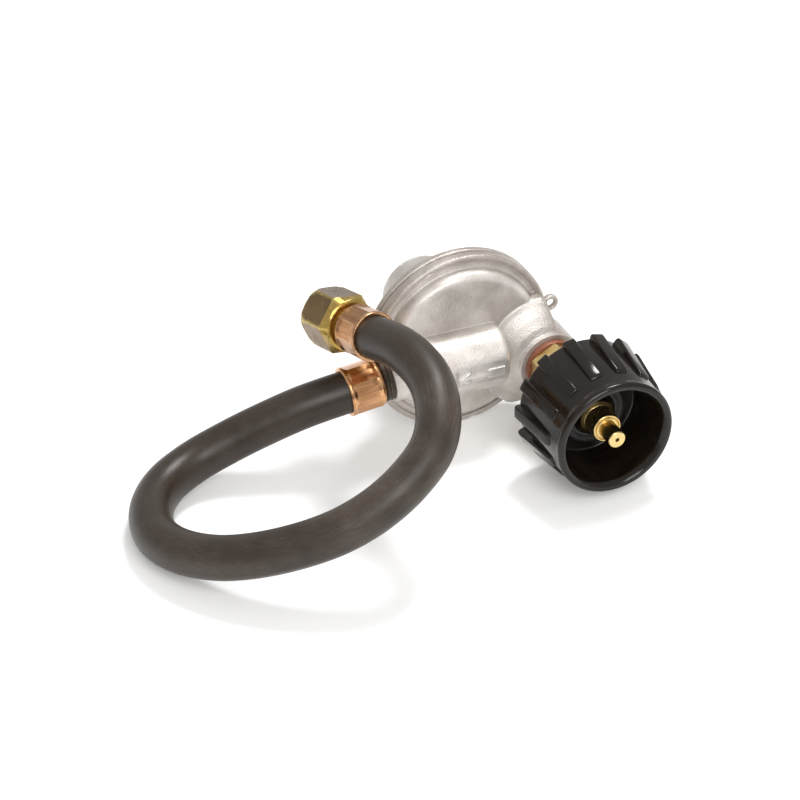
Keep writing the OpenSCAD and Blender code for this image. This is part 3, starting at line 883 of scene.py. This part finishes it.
def make_bonnet():
    """Rim, body and spring tower in one profile, with the vent boss and the eyelet."""
    tower_r, tower_l = 14.6, 34.2
    rim = 32.8
    profile = [
        (11.6, tower_l), (tower_r, tower_l), (tower_r + 0.3, 24), (tower_r + 1.6, 18.4),
        (tower_r + 3.2, 15.6), (27, 9.6), (29.8, 8.2), (31, 7.1), (32.2, 6.8), (rim, 6),
        (rim, 4), (rim - 0.95, 3.8), (rim - 0.95, 3.2), (rim, 3), (rim, 0), (rim - 0.5, -0.6),
        (30.7, -0.6), (30.7, 0), (31.35, 0), (31.35, 4), (26.5, 4), (24.8, 7.4), (13.6, 16.2),
        (11.6, 19.2)]
    shell = turned("bonnet_shell", profile, AT_DISC, 160, 0.5)
    vent = AT_DISC @ Matrix.Translation(mm(0, 20.5, 0))
    boss = turned("vent_boss", [(2.6, 10), (4.9, 10), (4.6, 16), (3.4, 16), (3.4, 15), (2.6, 15)],
                  vent, 48, 0.3)
    eyelet = (AT_DISC @ Matrix.Rotation(-math.radians(EYELET_TURN), 4, "Z")
              @ Matrix.Translation(mm(-EYELET_REACH, 0, 0)))
    ear = turned("rim_eyelet", [(1.5, 4.3), (3, 4.3), (3, 6.5), (1.5, 6.5)], eyelet, 40, 0.7)
    outward = eyelet.to_3x3() @ Vector((-1, 0, 0))
    neck = turned("eyelet_neck", [(0, 0), (1.15, 0), (0.95, 1.5), (1.1, 2.6), (0, 2.6)],
                  standing(eyelet @ mm(3.8, 0, 5.4), outward), 24, 0.2, closed=False)
    mesh = joined("back_casting", [shell, boss, ear, neck])
    piece("back_casting", mesh, "bonnet_casting", "regulator", ("bonnet",))


make_casting()
make_arrow()
make_bonnet()


# ---- inlet ----

# Heights along the inlet axis, in millimetres, between which the nipple's brass is drawn much
# darker, inside the nut's bore
DARKENED_ZONE = (-49.4, -43.3)
RIB_COUNT = 14
RIB_TURN = 0.5  # degrees
RIB_HALF_WIDTH = 2.15


def hexagon_radius(half_flats, a):
    """The radius of a hexagon's outline at angle a."""
    offset = (a + math.pi / 6) % (math.pi / 3) - math.pi / 6
    return half_flats / math.cos(offset)


def make_nipple():
    """The nipple with its hexagon, its flange and its nose."""
    hex_low, hex_high = -20.5, -15.2
    half_flats = 8.5

    def hexagon(r, z, a):
        """Six flats whose corners are rounded by the chamfer."""
        if not hex_low - 0.01 <= z <= hex_high + 0.01 or r < 7.5:
            return r
        return min(r, hexagon_radius(half_flats, a))

    profile = [
        (3, -6.8), (6.3, -6.8), (6.6, -7.1), (6.6, hex_high), (9.1, hex_high),
        (9.75, hex_high - 0.6), (9.75, hex_low + 0.8), (8.9, hex_low), (7, hex_low), (7, -43.25),
        (11.5, -43.25),
        (11.5, -44.2), (7.6, -44.2), (7.4, -46.2), (6.4, -49), (5.1, -49.6), (5.1, -55.4),
        (4.8, -55.9), (4.4, -55.9), (4.3, -55.2), (3.9, -55.2), (3.8, -55.8), (3.1, -55.8),
        (3.1, -62.7), (2.8, -63.2), (0.7, -63.2), (0.7, -52.4), (3, -52.4)]
    mesh = turned("nipple", profile, AT_INLET, 120, 0.2, hexagon, second_zone=DARKENED_ZONE)
    piece("nipple", mesh, "brass", "regulator", ("inlet_nipple",), second="oiled_brass")
    seal = turned("nose_seal", [(7.65, -44.25), (11.45, -44.25), (11.5, -45.4), (10.7, -46.15),
                                (9.6, -46.2), (9.2, -45.8), (8.6, -46.1), (7.65, -46)],
                  AT_INLET, 96, 0.2)
    piece("nose_seal", seal, "seal_rubber", "regulator")
    washer = turned("washer", [(6.65, -15.15), (9.6, -15.15), (9.6, -13.05), (6.65, -13.05)],
                    AT_INLET, 72, 0.35)
    piece("washer", washer, "inlet_fibre", "regulator", ("inlet_washer",))


def rib_mesh():
    """One rib along the nut's outside, lying towards +X."""
    side = [(18.5, -34.4), (23.3, -34.3), (24.1, -35.1), (24.1, -36.6), (22.9, -45.6),
            (21.8, -54), (21.1, -55.2), (18.5, -55.2)]
    bm = bmesh.new()
    walls = [[bm.verts.new(mm(r, s * RIB_HALF_WIDTH, z)) for r, z in side] for s in (-1, 1)]
    bm.faces.new(walls[0])
    bm.faces.new(walls[1])
    for i in range(len(side)):
        n = (i + 1) % len(side)
        bm.faces.new((walls[0][i], walls[0][n], walls[1][n], walls[1][i]))
    bmesh.ops.recalc_face_normals(bm, faces=bm.faces)
    sharp = [e for e in bm.edges if e.calc_face_angle(0) > 0.6
             and max(v.co.x for v in e.verts) > 19 * MM]
    bmesh.ops.bevel(bm, geom=sharp, offset=1.35 * MM, segments=5, affect="EDGES", profile=0.5,
                    clamp_overlap=True)
    return finish_mesh(bm, "rib")


def make_bushing():
    """The coupling nut's bushing."""
    bushing = turned("bushing", [(7.1, -43.15), (11.4, -43.15), (11.4, -42.1), (8.9, -42.1),
                                 (8.9, -36.25), (7.1, -36.25)], AT_INLET, 96, 0.25)
    piece("bushing", bushing, "bushing_plastic", "thermal_bushing", ("thermal_bushing",))


def make_coupling_nut():
    """The nut's shell, its ribs and the thread in its bore."""
    shell = turned("nut_shell", [
        (15, -33.4), (21, -33.4), (21.7, -34.2), (20.6, -57), (20.3, -59.4), (20.8, -60.6),
        (20.8, -61.9), (20, -62.7), (18.6, -62.7), (17.9, -61.8), (17.2, -60.6), (17.2, -58.8),
        (17.2, -43), (16.6, -42), (9, -42), (9, -36), (15, -36)], AT_INLET, 144, 0.5)
    piece("nut_shell", shell, "black_nylon", "coupling_nut", ("coupling_nut",))
    ribs = grown("nut_ribs", rib_mesh(), RING_TREE, AT_INLET, Count=RIB_COUNT,
                 First_Turn=math.radians(RIB_TURN), Finish=MATERIALS["black_nylon"])
    piece("nut_ribs", ribs, "black_nylon", "coupling_nut")
    start = AT_INLET @ Matrix.Translation(mm(0, 0, -57.4))
    thread = helix("nut_thread", start, 3, 17.9, 13.2, 0.75, 12, "thread_nylon")
    piece("nut_thread", thread, "black_nylon", "coupling_nut")


make_nipple()
make_bushing()
make_coupling_nut()


# ---- hose fittings ----

CRIMPS = 8
CRIMP_FROM, CRIMP_TO = 1.0, FERRULE_L - 1.6


def crimped(r, z, a):
    """Pulls a sleeve's middle in to lengthwise flats."""
    if r < FERRULE_R - 0.5 or not CRIMP_FROM < z < CRIMP_TO:
        return r
    edge = min(z - CRIMP_FROM, CRIMP_TO - z) / 1.2
    half = TAU / CRIMPS / 2
    offset = a % (TAU / CRIMPS) - half
    flat = r * math.cos(half) / math.cos(offset) - 0.12
    return r + (min(flat, r) - r) * min(1.0, edge) * 0.85


def ferrule(name, matrix):
    """A crimped sleeve, open where the hose enters, with only the stem's hole in its other end."""
    end, inner = FERRULE_L, FERRULE_L - 1.5
    outer = [(FERRULE_R, z) for z in (0.5, 1, 1.6, 2.2, 4, 6, 8, 9.7, 10.3, 10.9)]
    profile = [(HOSE_R + 0.05, 0), (FERRULE_R - 0.25, 0), *outer, (8.2, 11.7), (7.7, 12.2),
               (7, end), (3.35, end), (3.35, inner), (HOSE_R + 0.05, inner)]
    return turned(name, profile, matrix, 128, 0.15, crimped, angle=26)


def barb(end):
    """The barbed profile inside the hose, up to the height end."""
    return [(2.4, 1), (2.8, 1), (3.3, 2.4), (2.9, 2.4), (3.3, 5.4), (2.9, 5.4), (3.3, 8.4),
            (3.3, end)]


def make_outlet():
    """The ferrule at the regulator and the stem with its grooved collar."""
    sleeve = piece("outlet_sleeve", ferrule("outlet_sleeve", AT_OUTLET), "copper_plate",
                   "regulator", ("outlet_ferrule",))
    low, high = FERRULE_L, FERRULE_L + COLLAR_L
    collar = turned("outlet_collar", [
        *barb(low), (7, low), (7.5, low + 0.5), (7.5, low + 1.2), (7.2, low + 1.4),
        (7.2, low + 1.7), (7.5, low + 1.9), (7.5, high), (4.8, high), (4.8, 24.2), (2.4, 24.2)],
        AT_OUTLET, 72, 0.2)
    collar_piece = piece("outlet_collar", collar, "dark_bronze", "regulator", ("outlet_stem",))


FLARE_CORNER_R = 10.75
FLARE_BLEND = 0.25
FLARE_TURN = 100  # degrees


def flare_flats(r, _, a):
    """Six flats with small rounded corners."""
    if r < 9:
        return r
    flat = hexagon_radius(FLARE_AF / 2, a)
    low = min(flat, FLARE_CORNER_R)
    ease = max(FLARE_BLEND - abs(flat - FLARE_CORNER_R), 0) / FLARE_BLEND
    return min(r, low - ease * ease * FLARE_BLEND / 4)


def make_far_end():
    """The free end's ferrule, stem and swivel flare nut."""
    sleeve = piece("far_sleeve", ferrule("far_sleeve", AT_FAR), "copper_plate", "regulator",
                   ("far_ferrule",), "far_copper")
    back, front = FLARE_BACK, FLARE_BACK + FLARE_L
    at_nut = AT_FAR @ Matrix.Rotation(math.radians(FLARE_TURN), 4, "Z")
    profile = [
        (5.3, back), (8.2, back), (8.8, back + 0.3), (10.95, back + 3.1), (10.95, front - 4.4),
        (10.75, front - 2.8), (10.1, front - 1.2), (9.2, front - 0.3), (8.5, front), (8, front),
        (7.35, front - 0.8), (7.35, back + 6), (7.5, back + 5.6), (7.5, back + 2.8),
        (5.3, back + 2.8)]
    nut = turned("flare_hexagon", profile, at_nut, 144, 0.3, flare_flats, angle=20,
                 second_zone=(back - 1, back + 2.2))
    nut_piece = piece("flare_hexagon", nut, "yellow_brass", "flare_nut", ("flare_nut",),
                      second="machined_brass")
    low, head = FERRULE_L, HEAD_Z
    stem = turned("far_stem_made", [
        *barb(low), (6, low), (6, low + 2), (5.2, low + 2), (5.2, head), (6.9, head),
        (6.9, head + 2.4), (6.5, head + 2.8), (5.6, head + 2.8), (2.4, head + 0.8)],
        AT_FAR, 72, 0.15)
    stem_piece = piece("far_stem_made", stem, "brass", "regulator", ("far_stem",))
    start = AT_FAR @ Matrix.Translation(mm(0, 0, back + 6.6))
    thread = helix("flare_thread", start, 6, 7.4, 8.6, 0.45, 6, "yellow_brass")
    thread_piece = piece("flare_thread", thread, "yellow_brass", "flare_nut")


make_outlet()
make_far_end()


# ---- working parts inside ----

SPRING_SEAT_Y = 25.45
SPRING_TURNS = 5
SPRING_WIRE_SIDES = 10


def make_springs():
    """The three coil springs."""
    coils = (
        ("adjusting_coil", AT_DISC, 9.2, 4.85, SPRING_SEAT_Y, 0.9, "adjusting_spring",
         "regulator", "diaphragm_travel", 1.5),
        ("relief_coil", AT_DISC, 3.4, 4.85, 12.55, 0.45, "relief_spring",
         "diaphragm_post", "relief_lift", 1),
        ("flow_coil", AT_INLET, 2.2, -44.35, -36.05, 0.3, "flow_spring",
         "regulator", "flow_check", 3))
    for name, matrix, coil_r, low, high, wire_r, node, body, joint, stroke in coils:
        start = matrix @ Matrix.Translation(mm(0, 0, low + wire_r))
        mesh = helix(name, start, SPRING_TURNS, coil_r, high - low - 2 * wire_r, wire_r,
                     SPRING_WIRE_SIDES, "spring_steel")
        coil = piece(name, mesh, "spring_steel", body, (node,))
        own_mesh(coil)


# node: (broken edge in millimetres, body, finish)
BEVELLED = {
    "closing_cap": (0.25, "closing_cap", "bonnet_casting"),
    "adjusting_screw": (0.2, "adjusting_screw", "screw_plastic"),
    "cap_gasket": (0.12, "cap_gasket", "seal_rubber"),
    "relief_nut": (0.2, "diaphragm_post", "brass"),
    "spring_seat": (0.12, "spring_seat", "steel_plate"),
}


def make_bevelled_parts():
    for node, (width, body, finish) in BEVELLED.items():
        piece(node + "_made", bevelled_copy(node, width), finish, body, (node,))


make_springs()
make_bevelled_parts()


def finish_cad_nodes():
    """Gives every carried-over node the finish that the record names."""
    slots = {row["node"]: row["material_slot"] for row in frame["record"]["subparts"]}
    for node, obj in frame["nodes"].items():
        chosen = MATERIALS[slots[node]]
        if not obj.material_slots:
            obj.data.materials.append(chosen)
        for material_slot in obj.material_slots:
            material_slot.material = chosen


finish_cad_nodes()


# ---- floor and light ----

FLOOR_HALF = 3.0
LIT_POINT = Vector((-0.03, 0, 0.02))
WORLD_STRENGTH = 0.64


def make_floor():
    """The white floor."""
    made, s, principled, place = new_material("studio_floor")
    cloud = s.noise(place, 3.0, 2)
    link(s, s.mixed(cloud, colour(0.90, 0.90, 0.895), colour(0.92, 0.92, 0.915)), principled,
         "Base Color")
    principled.inputs["Roughness"].default_value = 0.6
    principled.inputs["Specular IOR Level"].default_value = 0.2
    principled.inputs["Emission Color"].default_value = (1, 1, 1, 1)
    principled.inputs["Emission Strength"].default_value = 0.16
    mesh = bpy.data.meshes.new("studio_floor")
    half = FLOOR_HALF
    mesh.from_pydata([(-half, -half, 0), (half, -half, 0), (half, half, 0), (-half, half, 0)], [],
                     [(0, 1, 2, 3)])
    mesh.materials.append(made)
    floor = bpy.data.objects.new("studio_floor", mesh)
    SCENE.collection.objects.link(floor)


def area_light(name, place, size, power):
    """A square panel of size metres that faces the object."""
    data = bpy.data.lights.new(name, "AREA")
    data.shape = "RECTANGLE"
    data.size = data.size_y = size
    data.energy = power
    light = bpy.data.objects.new(name, data)
    light.location = place
    aim = LIT_POINT - Vector(place)
    light.rotation_mode = "QUATERNION"
    light.rotation_quaternion = aim.to_track_quat("-Z", "Y")
    SCENE.collection.objects.link(light)


def make_light():
    """A white world, a panel behind the object and a panel in front of it."""
    world = bpy.data.worlds.new("studio")
    world.use_nodes = True
    background = world.node_tree.nodes["Background"]
    background.inputs[0].default_value = (1.0, 0.995, 0.985, 1.0)
    background.inputs[1].default_value = WORLD_STRENGTH
    SCENE.world = world
    area_light("key_panel", (0.4, 0.35, 1.35), 0.36, 12)
    area_light("fill_panel", (-0.15, -1.1, 1), 0.75, 11)
    SCENE.view_settings.view_transform = "Standard"


make_floor()
make_light()
